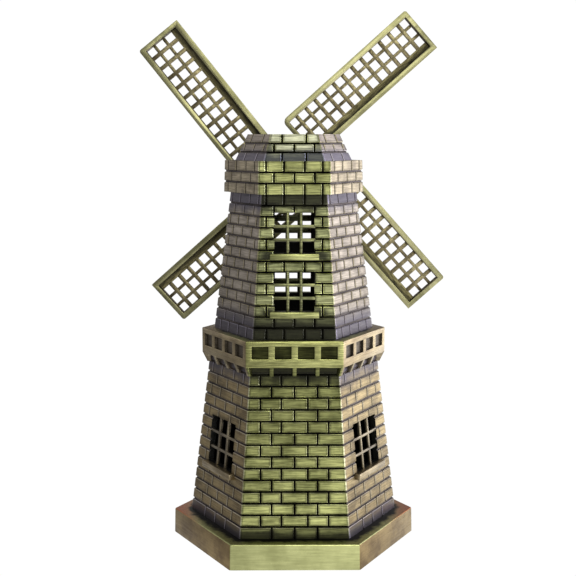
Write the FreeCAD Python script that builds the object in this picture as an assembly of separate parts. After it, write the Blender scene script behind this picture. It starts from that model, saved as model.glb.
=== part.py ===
"""Desk windmill: a souvenir figurine in die-cast zinc alloy with an antique brass finish.

Every storey is a hexagon with corners on +X and -X and a wall facing each of -Y and +Y. The cap carries a
steel windshaft along +Y, and the four lattice sails turn on it on the +Y side. Origin: centre of the
underside, +Z up. Millimetres. One STEP is written for each piece.
"""
import FreeCAD, Part

import math
import os
from collections import namedtuple

# A storey's outer faces: a six-sided taper from side0 at z0 to side1 at z1. A hexagon's side is also its
# corner radius.
Storey = namedtuple("Storey", "z0 side0 z1 side1")

# Plinth and felt
PLINTH = Storey(0.4, 37.5, 8.0, 37.3)
PLINTH_WALL = 3.2
PLINTH_TOP_WALL = 2.0
PLINTH_EDGE = 0.35
FELT_THICK = 1.2
FELT_RIM = 1.4
LOCATING_RIB = 1.2

# Tower storeys
LOWER = Storey(8.0, 31.9, 63.4, 24.95)
UPPER = Storey(65.4, 24.3, 106.9, 19.05)
TOWER_WALL = 1.8
FLANGE = 2.0

# Gallery round the joint between the storeys
GALLERY = Storey(57.6, 28.05, 65.4, 28.05)
DECK = GALLERY.z1 - LOWER.z1
GALLERY_GAP = 0.1
PANEL_PITCH = 6.6
PANEL_WIDTH = 5.05
PANEL_Z = (60.0, 63.95)
PANEL_DEPTH = 0.8
CORBEL_DROP = 2.7
CORBEL_WIDTH = 1.15

# Cap
BAND = Storey(106.9, 21.05, 116.3, 20.75)
ROOF = Storey(116.3, 17.6, 124.0, 13.85)
BAND_PLATE = 1.5
ROOF_WALL = 1.6

# Brickwork: the joints between bricks, as distances from the middle of each wall, in courses of two kinds
JOINT_WIDTH = 0.5
JOINT_DEPTH = 0.3
LOWER_COURSE = 3.38
LOWER_JOINTS = ((0.0, 6.65), (3.83, 9.85))
UPPER_COURSE = (UPPER.z1 - UPPER.z0) / 13
BAND_COURSE = (BAND.z1 - BAND.z0) / 3
UPPER_JOINTS = ((2.96, 8.1), (0.0, 5.84))
ROOF_COURSE = (ROOF.z1 - ROOF.z0) / 3
ROOF_JOINTS = ((3.5,), (0.0, 5.84))

# Windows: three panes by three, with cast glazing bars and a sill
LOWER_WINDOW = (15.1, 25.2, 39.5)
UPPER_WINDOWS = ((11.5, 73.4, 84.7), (11.5, 90.0, 101.6))
PANES = 3
BAR = 0.95
REAR_LEVEL_BAR = 1.9
BAR_DEPTH = 1.0
BAR_SET_BACK = 0.1
SILL_HEIGHT = 1.8
SILL_OVERHANG = 1.4
SILL_REACH = 1.6

# Door on the +Y wall of the lower storey
DOOR_WIDTH = 8.6
DOOR_TOP = 25.0
DOOR_FRAME = 1.5
DOOR_FRAME_REACH = 0.7
DOOR_PLANKS = 5
DOOR_STEP = (13.0, 2.2, 1.9)
KNOB_Z = 17.6

# Screws: all are driven upwards, and each joint hides its own
SCREW_SHANK = 2.6
SCREW_HEAD = 4.6
SCREW_HEAD_HEIGHT = 1.5
SCREW_FIT = 0.03
CLEARANCE_HOLE = 3.0
BOSS_RADIUS = 2.6
BASE_SCREWS = (23.1, (30, 150, 270), 8.0)
TOWER_SCREWS = (17.2, (30, 150, 270), 9.0)
CAP_SCREWS = (12.4, (30, 150, 270), 6.4)
ROOF_SCREWS = (10.6, (210, 330), 6.6)

# Windshaft and hub
SHAFT_Z = 113.3
SHAFT_RADIUS = 1.25
SHAFT_FIT = 0.05
SHAFT_INNER_END = 8.2
BEARING = (11.0, 22.7)
BEARING_RADIUS = 2.95
WASHER = (2.7, 0.5)
CLIP_RADIUS = 2.3
SHAFT_SLOT = 6.4
CLIP_THICK = 0.45
CLIP_MOUTH = 1.7
HUB_RADIUS = 6.6
HUB_NECK_RADIUS = 3.2
HUB_PLATE = 0.9
NUT_RADIUS = 2.65
NUT_SKIRT = 0.9

# Sails: u runs out along the sail and v across it, clockwise as seen from -Y
SAIL_ANGLE = 41.7
SAIL_Y = (25.3, 28.5)
SAIL_U = (7.4, 59.9)
SAIL_V = (-13.4, 2.2)
SAIL_RIM = 1.6
SAIL_END_RIM = 1.3
SAIL_BOARD = 2.2
SAIL_RECESS = 2.0
SAIL_LATTICE = 0.9
SAIL_PANES = (13, 3)
SAIL_BARS = (1.3, 1.05)
SAIL_CORNER = 1.9
SAIL_TIP_CORNER = 0.8
SAIL_SKEW = (0, -3.0, 0, 0)
TONGUE = (3.2, 3.2, 1.7)
TONGUE_GAP = 0.04
TONGUE_PROUD = 0.4
AXIAL_PLAY = 0.1
SHIM_PLAY = 0.05

FACES = range(30, 390, 60)
CORNERS = range(0, 360, 60)
UP = FreeCAD.Vector(0, 0, 1)
ALONG_Y = FreeCAD.Vector(0, 1, 0)


def apothem(side):
    return side * math.sqrt(3) / 2


def side_of(distance):
    return distance * 2 / math.sqrt(3)


def side_at(storey, z):
    share = (z - storey.z0) / (storey.z1 - storey.z0)
    return storey.side0 + share * (storey.side1 - storey.side0)


def hexagon(side, z):
    angles = [math.radians(a) for a in CORNERS]
    return [FreeCAD.Vector(side * math.cos(a), side * math.sin(a), z) for a in angles]


def solid_from(faces):
    solid = Part.Solid(Part.Shell([Part.Face(Part.makePolygon(f + f[:1])) for f in faces]))
    return solid if solid.Volume > 0 else solid.reversed()


def taper(storey, inset=0.0):
    """The solid inside a storey's faces, each moved in by inset, measured level."""
    low = hexagon(storey.side0 - side_of(inset), storey.z0)
    high = hexagon(storey.side1 - side_of(inset), storey.z1)
    walls = [[low[k], low[k - 5], high[k - 5], high[k]] for k in range(6)]
    return solid_from([low[::-1], high] + walls)


def prism(side, z0, z1):
    return taper(Storey(z0, side, z1, side))


def slice_of(storey, z0, z1):
    return Storey(z0, side_at(storey, z0), z1, side_at(storey, z1))


def on_ray(azimuth, profile, t0, t1):
    """A profile of (distance from the Z axis, height) points, stood up at an azimuth, from t0 to t1 across it."""
    a = math.radians(azimuth)
    out = FreeCAD.Vector(math.cos(a), math.sin(a), 0)
    across = FreeCAD.Vector(-math.sin(a), math.cos(a), 0)
    points = [out * n + UP * z + across * t0 for n, z in profile]
    return Part.Face(Part.makePolygon(points + points[:1])).extrude(across * (t1 - t0))


def on_wall(storey, azimuth, t0, t1, z0, z1, inner, outer):
    """A block on a wall, following its slope. inner and outer are measured out from the wall's face."""
    low = apothem(side_at(storey, z0))
    high = apothem(side_at(storey, z1))
    profile = [(low + inner, z0), (low + outer, z0), (high + outer, z1), (high + inner, z1)]
    return on_ray(azimuth, profile, t0, t1)


def cylinder(radius, height, x, y, z, direction=UP):
    return Part.makeCylinder(radius, height, FreeCAD.Vector(x, y, z), direction)


def places(settings):
    """Where the screws of a set stand: (x, y) of each."""
    distance, azimuths = settings[:2]
    angles = [math.radians(azimuth) for azimuth in azimuths]
    return [(distance * math.cos(a), distance * math.sin(a)) for a in angles]


def posts(settings, radius, z, height):
    """One cylinder for each screw of a set."""
    return [cylinder(radius, height, x, y, z) for x, y in places(settings)]


def courses(storey, height, kinds):
    """The brick courses from the storey's foot up: (bottom, top, joints of that course)."""
    count = math.ceil((storey.z1 - storey.z0) / height - 0.01)
    for k in range(count):
        low = storey.z0 + k * height
        yield low, min(low + height, storey.z1), kinds[k % 2]


def engrave(shell, storey, height, kinds):
    """Cuts the mortar joints into a storey: a ring for each bed joint, then each wall's upright joints."""
    half = JOINT_WIDTH / 2
    rings = []
    uprights = []
    for low, high, joints in courses(storey, height, kinds):
        if low > storey.z0:
            ring = slice_of(storey, low - half, low + half)
            rings.append(taper(ring, -1.0).cut(taper(ring, JOINT_DEPTH)))
        for azimuth in FACES:
            for joint in joints:
                if joint + JOINT_WIDTH < side_at(storey, high) / 2:
                    for t in {joint, -joint}:
                        upright = (storey, azimuth, t - half, t + half, low, high, -JOINT_DEPTH, 1.0)
                        uprights.append(on_wall(*upright))
    return shell.cut(rings).cut(uprights)


def glaze(shell, storey, azimuth, window, level_bar=BAR):
    """Opens a window through a wall and adds its glazing bars and sill."""
    width, z0, z1 = window
    half = width / 2
    shell = shell.cut(on_wall(storey, azimuth, -half, half, z0, z1, -2 * TOWER_WALL, 1.0))
    depth = (-BAR_SET_BACK - BAR_DEPTH, -BAR_SET_BACK)
    bite = 0.3
    pieces = []
    for k in range(1, PANES):
        t = -half + width * k / PANES
        z = z0 + (z1 - z0) * k / PANES
        pieces.append(on_wall(storey, azimuth, t - BAR / 2, t + BAR / 2, z0 - bite, z1 + bite, *depth))
        level = (-half - bite, half + bite, z - level_bar / 2, z + level_bar / 2)
        pieces.append(on_wall(storey, azimuth, *level, *depth))
    sill = (-half - SILL_OVERHANG, half + SILL_OVERHANG, z0 - SILL_HEIGHT, z0)
    pieces.append(on_wall(storey, azimuth, *sill, -2 * JOINT_DEPTH, SILL_REACH))
    return shell.fuse(pieces)


def base_plinth():
    """Hollow hexagonal foot, open below, with a rebate for the felt and a rib that centres the tower."""
    body = taper(PLINTH)
    rim = [e for e in body.Edges if e.BoundBox.ZMax > PLINTH.z1 - 0.01]
    body = body.makeChamfer(PLINTH_EDGE, rim)
    cavity = prism(PLINTH.side0 - side_of(PLINTH_WALL), PLINTH.z0, PLINTH.z1 - PLINTH_TOP_WALL)
    rebate = prism(PLINTH.side0 - side_of(FELT_RIM), PLINTH.z0, FELT_THICK)
    inside = LOWER.side0 - side_of(TOWER_WALL + 0.4)
    rib = prism(inside, PLINTH.z1, PLINTH.z1 + LOCATING_RIB)
    rib = rib.cut(prism(inside - side_of(1.4), PLINTH.z1, PLINTH.z1 + LOCATING_RIB))
    rib = rib.cut(posts(BASE_SCREWS, BOSS_RADIUS + 0.3, PLINTH.z1, LOCATING_RIB))
    body = body.cut([cavity, rebate]).fuse(rib)
    return body.cut(posts(BASE_SCREWS, CLEARANCE_HOLE / 2, 0, PLINTH.z1 + LOCATING_RIB))


def base_felt_pad():
    return prism(PLINTH.side0 - side_of(FELT_RIM + 0.15), 0, FELT_THICK)


def door_relief():
    """Plank door, its frame and a doorstep, cast on the +Y wall."""
    half = DOOR_WIDTH / 2
    z0 = LOWER.z0
    frame = on_wall(LOWER, 90, -half - DOOR_FRAME, half + DOOR_FRAME, z0, DOOR_TOP + DOOR_FRAME, -0.6,
                    DOOR_FRAME_REACH)
    leaf = on_wall(LOWER, 90, -half, half, z0, DOOR_TOP, 0.1, 2.0)
    grooves = []
    for k in range(1, DOOR_PLANKS):
        t = -half + DOOR_WIDTH * k / DOOR_PLANKS
        grooves.append(on_wall(LOWER, 90, t - 0.15, t + 0.15, z0, DOOR_TOP, -0.2, 2.0))
    hood = on_wall(LOWER, 90, -half - DOOR_FRAME - 0.8, half + DOOR_FRAME + 0.8, DOOR_TOP + DOOR_FRAME,
                   DOOR_TOP + DOOR_FRAME + 1.3, -0.6, 1.6)
    step_width, step_reach, step_height = DOOR_STEP
    step = on_wall(LOWER, 90, -step_width / 2, step_width / 2, z0, z0 + step_height, -0.6, step_reach)
    knob = cylinder(0.55, 0.9, half - 1.1, apothem(side_at(LOWER, KNOB_Z)) - 0.1, KNOB_Z, ALONG_Y)
    return [frame.cut([leaf] + grooves), hood, step, knob]


def lower_tower():
    """Tapered shell with two windows, a door, three foot bosses and a top flange."""
    body = taper(LOWER)
    bricked = slice_of(LOWER, LOWER.z0, GALLERY.z0)
    hollow = taper(slice_of(LOWER, LOWER.z0, LOWER.z1 - FLANGE), TOWER_WALL)
    opening = prism(16.0, LOWER.z1 - FLANGE, LOWER.z1)
    shell = engrave(body, bricked, LOWER_COURSE, LOWER_JOINTS).cut([hollow, opening])
    for azimuth in (210, 330):
        shell = glaze(shell, LOWER, azimuth, LOWER_WINDOW)
    shell = shell.fuse(posts(BASE_SCREWS, BOSS_RADIUS, LOWER.z0, BASE_SCREWS[2]))
    shell = shell.fuse(door_relief())
    shell = shell.cut(posts(BASE_SCREWS, SCREW_SHANK / 2 + SCREW_FIT, LOWER.z0, BASE_SCREWS[2] - 1))
    return shell.cut(posts(TOWER_SCREWS, CLEARANCE_HOLE / 2, LOWER.z1 - FLANGE, FLANGE))


def gallery():
    """Ring round the top of the lower storey, with panelled faces, a deck on top and corbels below."""
    socket = slice_of(LOWER, GALLERY.z0, LOWER.z1)
    ring = taper(GALLERY).cut([taper(socket, -GALLERY_GAP), prism(16.0, LOWER.z1, GALLERY.z1)])
    panels = []
    corbels = []
    for azimuth in FACES:
        for k in (-1.5, -0.5, 0.5, 1.5):
            t = PANEL_PITCH * k
            wide = (t - PANEL_WIDTH / 2, t + PANEL_WIDTH / 2)
            panels.append(on_wall(GALLERY, azimuth, *wide, *PANEL_Z, -PANEL_DEPTH, 1.0))
        for k in (-1, 0, 1):
            corbels.append(corbel(azimuth, PANEL_PITCH * k, apothem))
    for azimuth in CORNERS:
        corbels.append(corbel(azimuth, 0, lambda side: side))
    ring = ring.cut(panels).fuse(corbels)
    return ring.cut(posts(TOWER_SCREWS, CLEARANCE_HOLE / 2, LOWER.z1, DECK))


def corbel(azimuth, t, reach):
    """A bracket from the gallery's lower edge down to the wall. reach turns a storey's side into a distance."""
    top = GALLERY.z0 + 0.4
    low = GALLERY.z0 - CORBEL_DROP
    wall_top = reach(side_at(LOWER, top)) + GALLERY_GAP + 0.25
    wall_low = reach(side_at(LOWER, low)) + GALLERY_GAP
    edge = reach(GALLERY.side0)
    profile = [(wall_low, low), (wall_low + 0.35, low), (edge - 0.1, GALLERY.z0), (edge - 0.1, top),
               (wall_top, top), (reach(side_at(LOWER, GALLERY.z0)) + GALLERY_GAP, GALLERY.z0)]
    return on_ray(azimuth, profile, t - CORBEL_WIDTH / 2, t + CORBEL_WIDTH / 2)


def upper_tower():
    """Tapered shell with two windows on each of the -Y and +Y walls, three foot bosses and a top flange."""
    hollow = taper(slice_of(UPPER, UPPER.z0, UPPER.z1 - FLANGE), TOWER_WALL)
    opening = prism(9.5, UPPER.z1 - FLANGE, UPPER.z1)
    shell = engrave(taper(UPPER), UPPER, UPPER_COURSE, UPPER_JOINTS).cut([hollow, opening])
    for azimuth, level_bar in ((90, REAR_LEVEL_BAR), (270, BAR)):
        for window in UPPER_WINDOWS:
            shell = glaze(shell, UPPER, azimuth, window, level_bar)
    shell = shell.fuse(posts(TOWER_SCREWS, BOSS_RADIUS, UPPER.z0, 6.8))
    shell = shell.cut(posts(TOWER_SCREWS, SCREW_SHANK / 2 + SCREW_FIT, UPPER.z0, 6.0))
    return shell.cut(posts(CAP_SCREWS, CLEARANCE_HOLE / 2, UPPER.z1 - FLANGE, FLANGE))


def cap_band():
    """Hexagonal band of the cap: two plates joined by the wall, screw bosses and the windshaft's bearing."""
    inside = slice_of(BAND, BAND.z0 + BAND_PLATE, BAND.z1 - BAND_PLATE)
    low_hole = prism(9.5, BAND.z0, BAND.z0 + BAND_PLATE)
    high_hole = prism(9.5, BAND.z1 - BAND_PLATE, BAND.z1)
    band = engrave(taper(BAND), BAND, BAND_COURSE, UPPER_JOINTS)
    band = band.cut([taper(inside, TOWER_WALL), low_hole, high_hole])
    length = BEARING[1] - BEARING[0]
    neck = cylinder(BEARING_RADIUS, length, 0, BEARING[0], SHAFT_Z, ALONG_Y)
    slot_corner = FreeCAD.Vector(-SHAFT_SLOT / 2, 0, BAND.z1 - BAND_PLATE)
    slot = Part.makeBox(SHAFT_SLOT, BEARING[0], BAND_PLATE, slot_corner)
    band = band.cut(slot).fuse([neck] + posts(CAP_SCREWS, BOSS_RADIUS - 0.3, BAND.z0, 5.6))
    bore = cylinder(SHAFT_RADIUS + SHAFT_FIT, length, 0, BEARING[0], SHAFT_Z, ALONG_Y)
    band = band.cut([bore] + posts(CAP_SCREWS, SCREW_SHANK / 2 + SCREW_FIT, BAND.z0, 4.8))
    return band.cut(posts(ROOF_SCREWS, CLEARANCE_HOLE / 2, BAND.z1 - BAND_PLATE, BAND_PLATE))


def roof():
    """Truncated pyramid with a closed flat top and two screw bosses inside."""
    hollow = taper(slice_of(ROOF, ROOF.z0, ROOF.z1 - ROOF_WALL), ROOF_WALL)
    shell = engrave(taper(ROOF), ROOF, ROOF_COURSE, ROOF_JOINTS).cut(hollow)
    shell = shell.fuse(posts(ROOF_SCREWS, BOSS_RADIUS - 0.4, ROOF.z0, ROOF.z1 - ROOF.z0 - 0.5))
    return shell.cut(posts(ROOF_SCREWS, SCREW_SHANK / 2 + SCREW_FIT, ROOF.z0, 5.4))


def screw(x, y, z, length):
    """Pan-head screw with a cross recess, pointing up, its head under the plane z."""
    head = cylinder(SCREW_HEAD / 2, SCREW_HEAD_HEIGHT, x, y, z - SCREW_HEAD_HEIGHT)
    rim = [e for e in head.Edges if e.BoundBox.ZMax < z - SCREW_HEAD_HEIGHT + 0.01]
    head = head.makeFillet(0.5, rim)
    shank = cylinder(SCREW_SHANK / 2, length - 0.8, x, y, z)
    point = Part.makeCone(SCREW_SHANK / 2, 0.5, 0.8, FreeCAD.Vector(x, y, z + length - 0.8), UP)
    arms = []
    for along, across in ((2.4, 0.5), (0.5, 2.4)):
        corner = FreeCAD.Vector(x - along / 2, y - across / 2, z - SCREW_HEAD_HEIGHT)
        arms.append(Part.makeBox(along, across, 0.8, corner))
    return head.fuse([shank, point]).cut(arms)


def screws(settings, z):
    return Part.makeCompound([screw(x, y, z, settings[2]) for x, y in places(settings)])


def windshaft():
    """Steel pin with a groove for the retaining clip."""
    end = hub_front() + HUB_PLATE + NUT_SKIRT
    pin = cylinder(SHAFT_RADIUS, end - SHAFT_INNER_END, 0, SHAFT_INNER_END, SHAFT_Z, ALONG_Y)
    pin = pin.makeChamfer(0.25, [e for e in pin.Edges if e.BoundBox.YLength < 0.01])
    y = clip_y()
    groove = cylinder(SHAFT_RADIUS + 1, CLIP_THICK + 0.1, 0, y - 0.05, SHAFT_Z, ALONG_Y)
    return pin.cut(groove.cut(cylinder(SHAFT_RADIUS - 0.3, 3, 0, y - 1, SHAFT_Z, ALONG_Y)))


def clip_y():
    """Where the retaining clip starts: inside the cap, past the inner washer."""
    return BEARING[0] - AXIAL_PLAY - WASHER[1] - SHIM_PLAY - CLIP_THICK


def washer(y):
    disc = cylinder(WASHER[0], WASHER[1], 0, y, SHAFT_Z, ALONG_Y)
    return disc.cut(cylinder(SHAFT_RADIUS + 0.1, WASHER[1], 0, y, SHAFT_Z, ALONG_Y))


def shaft_clip():
    """Open ring that snaps into the windshaft's groove."""
    y = clip_y()
    ring = cylinder(CLIP_RADIUS, CLIP_THICK, 0, y, SHAFT_Z, ALONG_Y)
    ring = ring.cut(cylinder(SHAFT_RADIUS - 0.28, CLIP_THICK, 0, y, SHAFT_Z, ALONG_Y))
    corner = FreeCAD.Vector(-CLIP_MOUTH / 2, y, SHAFT_Z - CLIP_RADIUS - 1)
    mouth = Part.makeBox(CLIP_MOUTH, CLIP_THICK, CLIP_RADIUS + 1, corner)
    return ring.cut(mouth)


def turned(shape, degrees):
    """A copy turned about the windshaft, anticlockwise as seen from -Y."""
    copy = shape.copy()
    copy.rotate(FreeCAD.Vector(0, 0, SHAFT_Z), ALONG_Y, -degrees)
    return copy


def block(u0, u1, v0, v1, y0, y1):
    """A block in a sail's own axes, for a sail that points along +X."""
    return Part.makeBox(u1 - u0, y1 - y0, v1 - v0, FreeCAD.Vector(u0, y0, SHAFT_Z - v1))


def sail(skew):
    """One sail along +X: a tray with a rim, a lattice floor, a solid board by the stock, and a hub tongue.
    The tray is turned about its own middle by skew degrees."""
    (u0, u1), (v0, v1), (y0, y1) = SAIL_U, SAIL_V, SAIL_Y
    frame = block(u0, u1, v0, v1, y0, y1)
    for u, radius in ((u0, SAIL_CORNER), (u1, SAIL_TIP_CORNER)):
        corner = FreeCAD.Vector(u, (y0 + y1) / 2, SHAFT_Z - v0)
        frame = frame.makeFillet(radius, [e for e in frame.Edges if (e.CenterOfMass - corner).Length < 0.01])
    inside = (u0 + SAIL_END_RIM, u1 - SAIL_END_RIM, v0 + SAIL_RIM, v1 - SAIL_RIM)
    floor = (y0 + SAIL_RECESS, y0 + SAIL_RECESS + SAIL_LATTICE)
    cuts = [block(*inside, y0, floor[0]), block(*inside, floor[1], y1)]
    across = inside[3] - SAIL_BOARD - inside[2]
    pitch_u = (inside[1] - inside[0] + SAIL_BARS[0]) / SAIL_PANES[0]
    pitch_v = (across + SAIL_BARS[1]) / SAIL_PANES[1]
    for i in range(SAIL_PANES[0]):
        for j in range(SAIL_PANES[1]):
            u = inside[0] + i * pitch_u
            v = inside[2] + j * pitch_v
            cuts.append(block(u, u + pitch_u - SAIL_BARS[0], v, v + pitch_v - SAIL_BARS[1], *floor))
    tray = frame.cut(cuts)
    tray.rotate(FreeCAD.Vector((u0 + u1) / 2, 0, SHAFT_Z - (v0 + v1) / 2), ALONG_Y, -skew)
    start, width, thick = TONGUE
    tongue = block(start, u0 + 0.5, -width / 2, width / 2, hub_front() - thick, hub_front())
    return tray.fuse(tongue)


def hub_front():
    """The plane that the tongues and the hub share, where the clamping plate sits."""
    return SAIL_Y[1] - HUB_PLATE + TONGUE_PROUD


def sail_hub():
    """Disc on a neck, with four slots for the sails' tongues, open to +Y."""
    neck_start = BEARING[1] + WASHER[1] + AXIAL_PLAY
    disc = cylinder(HUB_RADIUS, hub_front() - SAIL_Y[0], 0, SAIL_Y[0], SHAFT_Z, ALONG_Y)
    disc = disc.makeFillet(0.5, [e for e in disc.Edges if e.BoundBox.YMax < SAIL_Y[0] + 0.01])
    neck = cylinder(HUB_NECK_RADIUS, SAIL_Y[0] - neck_start + 0.5, 0, neck_start, SHAFT_Z, ALONG_Y)
    start, width, thick = TONGUE
    slot = block(start - TONGUE_GAP, HUB_RADIUS + 1, -width / 2 - TONGUE_GAP, width / 2 + TONGUE_GAP,
                 hub_front() - thick, hub_front())
    slots = [turned(slot, SAIL_ANGLE + 90 * k) for k in range(4)]
    bore = cylinder(SHAFT_RADIUS, 10, 0, neck_start, SHAFT_Z, ALONG_Y)
    return disc.fuse(neck).cut(slots + [bore])


def hub_plate():
    plate = cylinder(HUB_RADIUS, HUB_PLATE, 0, hub_front(), SHAFT_Z, ALONG_Y)
    plate = plate.makeChamfer(0.4, [e for e in plate.Edges if e.BoundBox.YMin > hub_front() + 0.1])
    return plate.cut(cylinder(SHAFT_RADIUS + 0.05, HUB_PLATE, 0, hub_front(), SHAFT_Z, ALONG_Y))


def dome_nut():
    y = hub_front() + HUB_PLATE
    skirt = cylinder(NUT_RADIUS, NUT_SKIRT, 0, y, SHAFT_Z, ALONG_Y)
    centre = FreeCAD.Vector(0, y + NUT_SKIRT, SHAFT_Z)
    dome = Part.makeSphere(NUT_RADIUS, centre, ALONG_Y, 0, 90, 360)
    hole = cylinder(SHAFT_RADIUS, NUT_SKIRT, 0, y, SHAFT_Z, ALONG_Y)
    return skirt.fuse(dome).cut(hole).removeSplitter()


def save(name, shape):
    solids = shape.Solids
    whole = solids[0] if len(solids) == 1 else Part.makeCompound(solids)
    if not whole.isValid():
        print("not valid:", name)
    whole.exportStep("parts/" + name + ".step")
    print(name, len(solids), "solid(s)", round(whole.Volume, 1), "mm3")


def main():
    os.makedirs("parts", exist_ok=True)
    save("base_plinth", base_plinth())
    save("base_felt_pad", base_felt_pad())
    save("base_screws", screws(BASE_SCREWS, PLINTH.z1 - PLINTH_TOP_WALL))
    save("lower_tower", lower_tower())
    save("gallery", gallery())
    save("tower_screws", screws(TOWER_SCREWS, LOWER.z1 - FLANGE))
    save("upper_tower", upper_tower())
    save("cap_band", cap_band())
    save("cap_screws", screws(CAP_SCREWS, UPPER.z1 - FLANGE))
    save("roof", roof())
    save("roof_screws", screws(ROOF_SCREWS, BAND.z1 - BAND_PLATE))
    save("windshaft", windshaft())
    save("shaft_clip", shaft_clip())
    save("inner_washer", washer(BEARING[0] - AXIAL_PLAY - WASHER[1]))
    save("outer_washer", washer(BEARING[1] + SHIM_PLAY))
    save("sail_hub", sail_hub())
    for k, skew in enumerate(SAIL_SKEW):
        save("sail_%d" % (k + 1), turned(sail(skew), SAIL_ANGLE + 90 * k))
    save("hub_plate", hub_plate())
    save("dome_nut", dome_nut())


main()
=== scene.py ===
from math import atan2, cos, pi, radians, sin, sqrt, tan

import bmesh
import bpy
from mathutils import Matrix, Vector


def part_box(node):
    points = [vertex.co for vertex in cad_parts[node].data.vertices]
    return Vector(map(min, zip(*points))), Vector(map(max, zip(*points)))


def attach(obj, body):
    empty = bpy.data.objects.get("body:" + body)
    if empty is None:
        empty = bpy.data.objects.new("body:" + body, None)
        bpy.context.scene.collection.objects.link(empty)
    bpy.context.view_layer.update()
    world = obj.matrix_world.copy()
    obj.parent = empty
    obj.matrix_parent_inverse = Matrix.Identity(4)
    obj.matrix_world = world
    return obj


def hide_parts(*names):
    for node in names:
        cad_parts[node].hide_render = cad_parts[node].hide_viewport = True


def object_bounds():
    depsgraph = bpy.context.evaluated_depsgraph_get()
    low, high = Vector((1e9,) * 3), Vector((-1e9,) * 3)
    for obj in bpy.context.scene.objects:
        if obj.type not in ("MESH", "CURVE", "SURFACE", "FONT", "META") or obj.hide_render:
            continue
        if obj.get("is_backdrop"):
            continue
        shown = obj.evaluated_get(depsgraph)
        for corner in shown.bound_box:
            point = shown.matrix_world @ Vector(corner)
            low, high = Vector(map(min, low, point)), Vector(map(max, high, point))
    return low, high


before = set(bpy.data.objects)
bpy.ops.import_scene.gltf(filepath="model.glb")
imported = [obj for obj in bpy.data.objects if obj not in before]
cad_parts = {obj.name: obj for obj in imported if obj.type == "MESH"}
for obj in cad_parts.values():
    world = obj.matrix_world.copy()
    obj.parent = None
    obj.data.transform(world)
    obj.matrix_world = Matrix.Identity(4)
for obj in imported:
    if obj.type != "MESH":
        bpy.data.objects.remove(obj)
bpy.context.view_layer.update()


# The studio: white paper that lights the mill more from the right, a white room, a broad lamp at the front
# and three cooler ones at the sides. Nothing here is part of the mill.

MM = 0.001
WHITE = (1.0, 1.0, 1.0, 1.0)
WARM_WHITE = (1.0, 0.98, 0.93, 1.0)
PAPER_STRENGTH = 1.02
scene = bpy.context.scene
scene.view_settings.view_transform = "Standard"


def uneven_glow(tree, kind, coordinate, span, strengths, surface):
    """Shows an even white, but lights the mill with a strength that changes along X over the span."""
    even = tree.nodes.new("ShaderNode" + kind)
    even.inputs["Color"].default_value = WHITE
    even.inputs["Strength"].default_value = PAPER_STRENGTH
    glow = tree.nodes.new("ShaderNode" + kind)
    glow.inputs["Color"].default_value = WARM_WHITE
    place = tree.nodes.new("ShaderNodeTexCoord")
    split = tree.nodes.new("ShaderNodeSeparateXYZ")
    tree.links.new(place.outputs[coordinate], split.inputs["Vector"])
    dimmer = tree.nodes.new("ShaderNodeMapRange")
    for socket, number in zip(("From Min", "From Max", "To Min", "To Max"), (*span, *strengths)):
        dimmer.inputs[socket].default_value = number
    tree.links.new(split.outputs["X"], dimmer.inputs["Value"])
    tree.links.new(dimmer.outputs["Result"], glow.inputs["Strength"])
    seen = tree.nodes.new("ShaderNodeLightPath")
    either = tree.nodes.new("ShaderNodeMixShader")
    tree.links.new(seen.outputs["Is Camera Ray"], either.inputs["Fac"])
    tree.links.new(glow.outputs[0], either.inputs[1])
    tree.links.new(even.outputs[0], either.inputs[2])
    tree.links.new(either.outputs["Shader"], surface)


room = bpy.data.worlds.new("white_room")
scene.world = room
room.use_nodes = True
room.node_tree.nodes.remove(room.node_tree.nodes["Background"])
uneven_glow(room.node_tree, "Background", "Generated", (-1.0, 1.0), (0.58, 0.38),
            room.node_tree.nodes["World Output"].inputs["Surface"])

bpy.ops.object.select_all(action="DESELECT")
bpy.ops.mesh.primitive_plane_add(size=6, location=(0, 0, -0.02 * MM))
studio_floor = bpy.context.object
studio_floor.name = "studio_floor"
bpy.ops.object.transform_apply()
paper = bpy.data.materials.new("white_paper")
paper.use_nodes = True
paper.node_tree.nodes.remove(paper.node_tree.nodes["Principled BSDF"])
uneven_glow(paper.node_tree, "Emission", "Object", (-0.08, 0.22), (0.40, 2.95),
            paper.node_tree.nodes["Material Output"].inputs["Surface"])
studio_floor.data.materials.append(paper)
studio_floor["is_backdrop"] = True

AIM = Vector((0, 0, 80 * MM))


def lamp(name, place, width, height, power, colour):
    """A rectangular soft light that faces the middle of the mill."""
    bpy.ops.object.light_add(type="AREA", location=place)
    light = bpy.context.object
    light.name = name
    light.data.shape = "RECTANGLE"
    light.data.size = width
    light.data.size_y = height
    light.data.energy = power
    light.data.color = colour
    light.rotation_euler = (AIM - Vector(place)).to_track_quat("-Z", "Y").to_euler()
    light.visible_camera = False


lamp("front_softbox", (0.12, -0.75, 0.42), 0.5, 0.5, 3.2, (1.0, 1.0, 0.8))
lamp("left_rear_softbox", (-0.62, 0.30, 0.3), 0.4, 0.5, 0.2, (0.9, 0.88, 1.0))
lamp("right_rear_softbox", (0.62, 0.30, 0.3), 0.4, 0.5, 1.8, (0.95, 0.93, 1.0))
lamp("right_strip", (0.66, -0.03, 0.14), 0.12, 0.5, 2.4, (0.90, 0.90, 1.0))

CAMERA_DISTANCE = 335.8 * MM
CAMERA_HEIGHT = 123.25 * MM
CAMERA_ROUND = radians(0.757)
CAMERA_TURN = radians(0.289)
CAMERA_TILT = radians(7.762)
bpy.ops.object.camera_add(
    location=(-CAMERA_DISTANCE * sin(CAMERA_ROUND), -CAMERA_DISTANCE * cos(CAMERA_ROUND), CAMERA_HEIGHT),
    rotation=(pi / 2 - CAMERA_TILT, 0, CAMERA_TURN - CAMERA_ROUND))
camera = bpy.context.object
camera.data.lens = 69.34
camera.data.clip_start = 0.01
scene.camera = camera


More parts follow.
